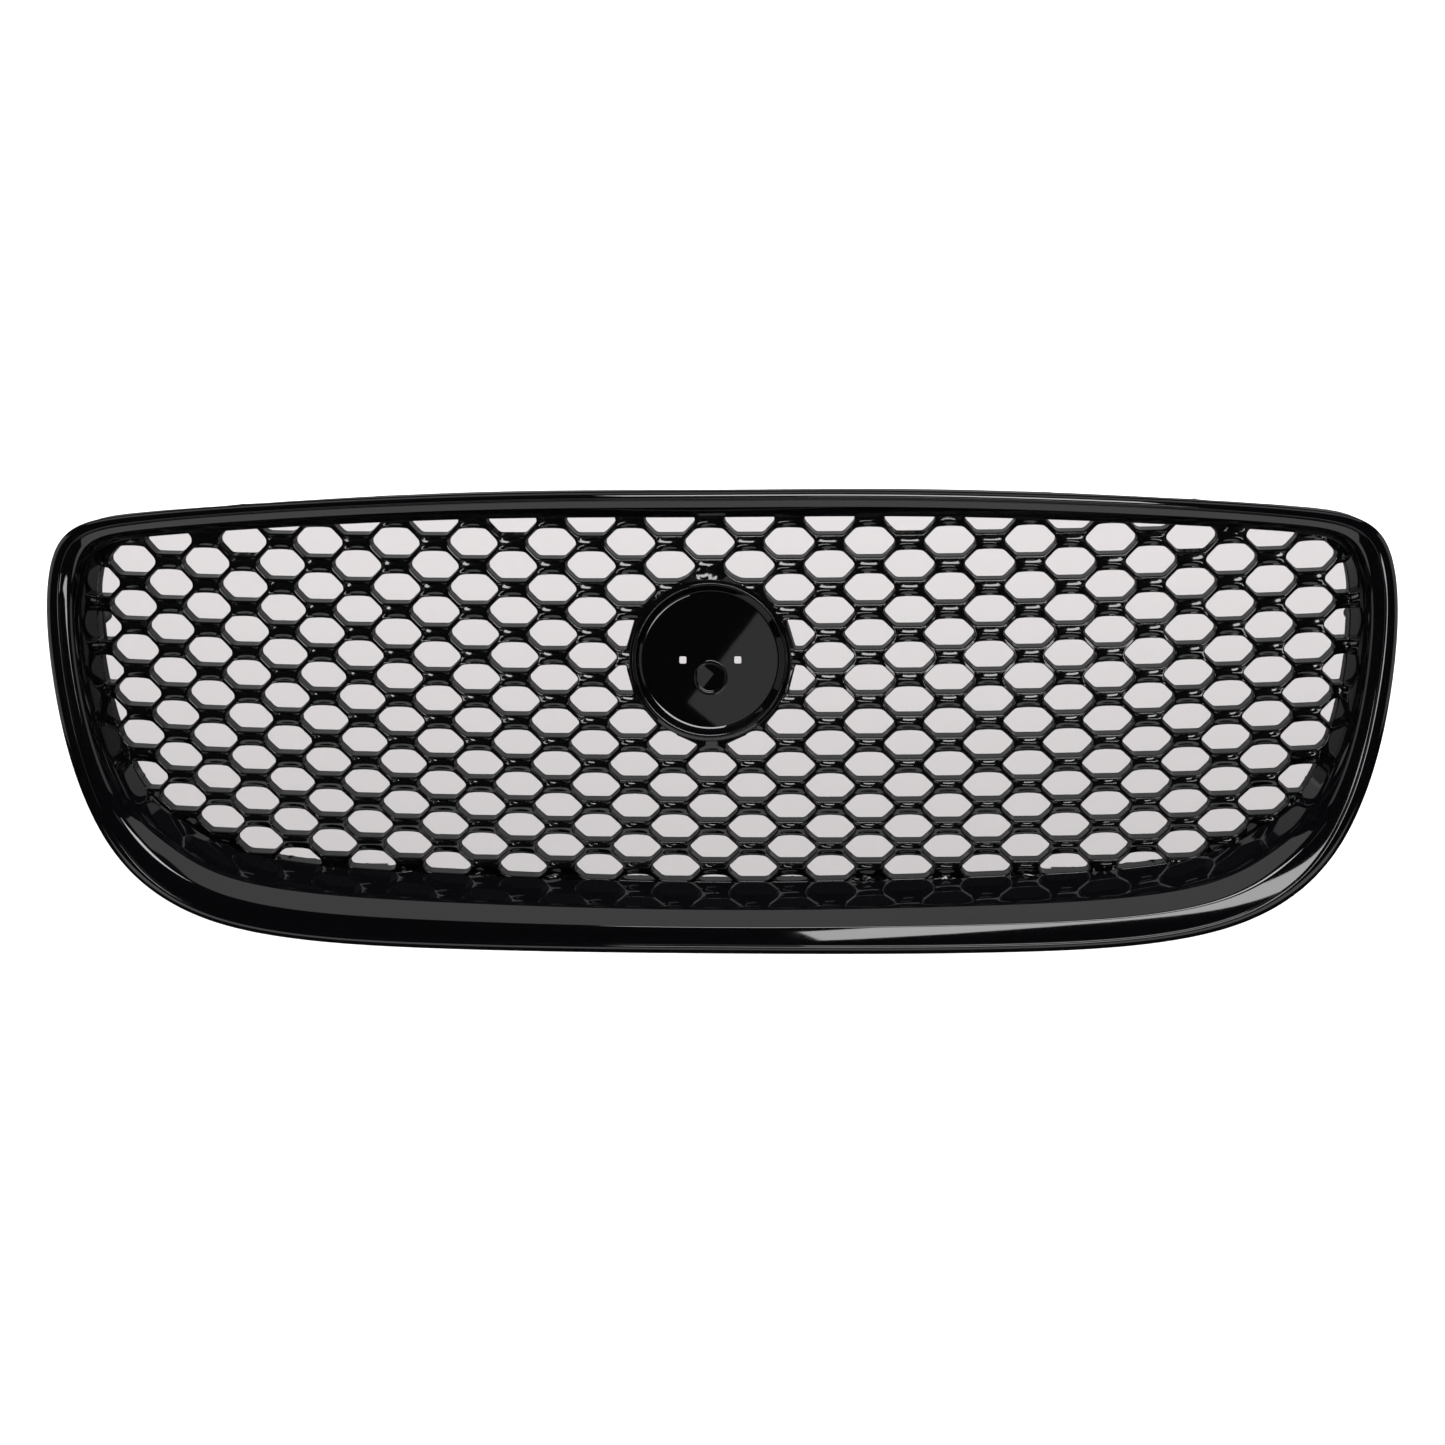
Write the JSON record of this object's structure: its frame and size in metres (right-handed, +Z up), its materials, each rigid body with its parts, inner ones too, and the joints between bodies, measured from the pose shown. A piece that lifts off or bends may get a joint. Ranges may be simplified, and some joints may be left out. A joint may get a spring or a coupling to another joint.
{
  "type": "front grille",
  "caption": "Gloss-black front grille: curved surround frame with a honeycomb mesh insert and a round emblem seat, with fixings behind.",
  "frame": {"origin": "centre of the emblem seat, on the centre line", "axes": "+X towards the observer's right when facing the front, +Y rearward into the car, +Z up; the mould opens along Y"},
  "size_m": [0.8408, 0.1269, 0.2905],
  "materials": {
    "surround": "high-gloss black",
    "mesh_insert": "gloss black",
    "badge_dish": "high-gloss black",
    "screw_steel": "black zinc",
    "nut_steel": "zinc plated",
    "spring_steel": "bare spring steel",
    "bracket_plastic": "grained black",
    "foam": "closed-cell foam"
  },
  "bodies": {
    "root": {"badge_dish": "badge_dish", "badge_screws": "screw_steel", "bracket_screws": "screw_steel", "lower_bracket_left_inner": "bracket_plastic", "lower_bracket_left_outer": "bracket_plastic", "lower_bracket_right_inner": "bracket_plastic", "lower_bracket_right_outer": "bracket_plastic", "lower_spring_clips": "spring_steel", "mesh_insert": "mesh_insert", "mesh_screws": "screw_steel", "rear_edge_foam": "foam", "side_bracket_left": "bracket_plastic", "side_bracket_right": "bracket_plastic", "surround": "surround", "upper_bracket_left_inner": "bracket_plastic", "upper_bracket_left_outer": "bracket_plastic", "upper_bracket_right_inner": "bracket_plastic", "upper_bracket_right_outer": "bracket_plastic", "upper_u_nuts": "nut_steel"}
  },
  "joints": []
}
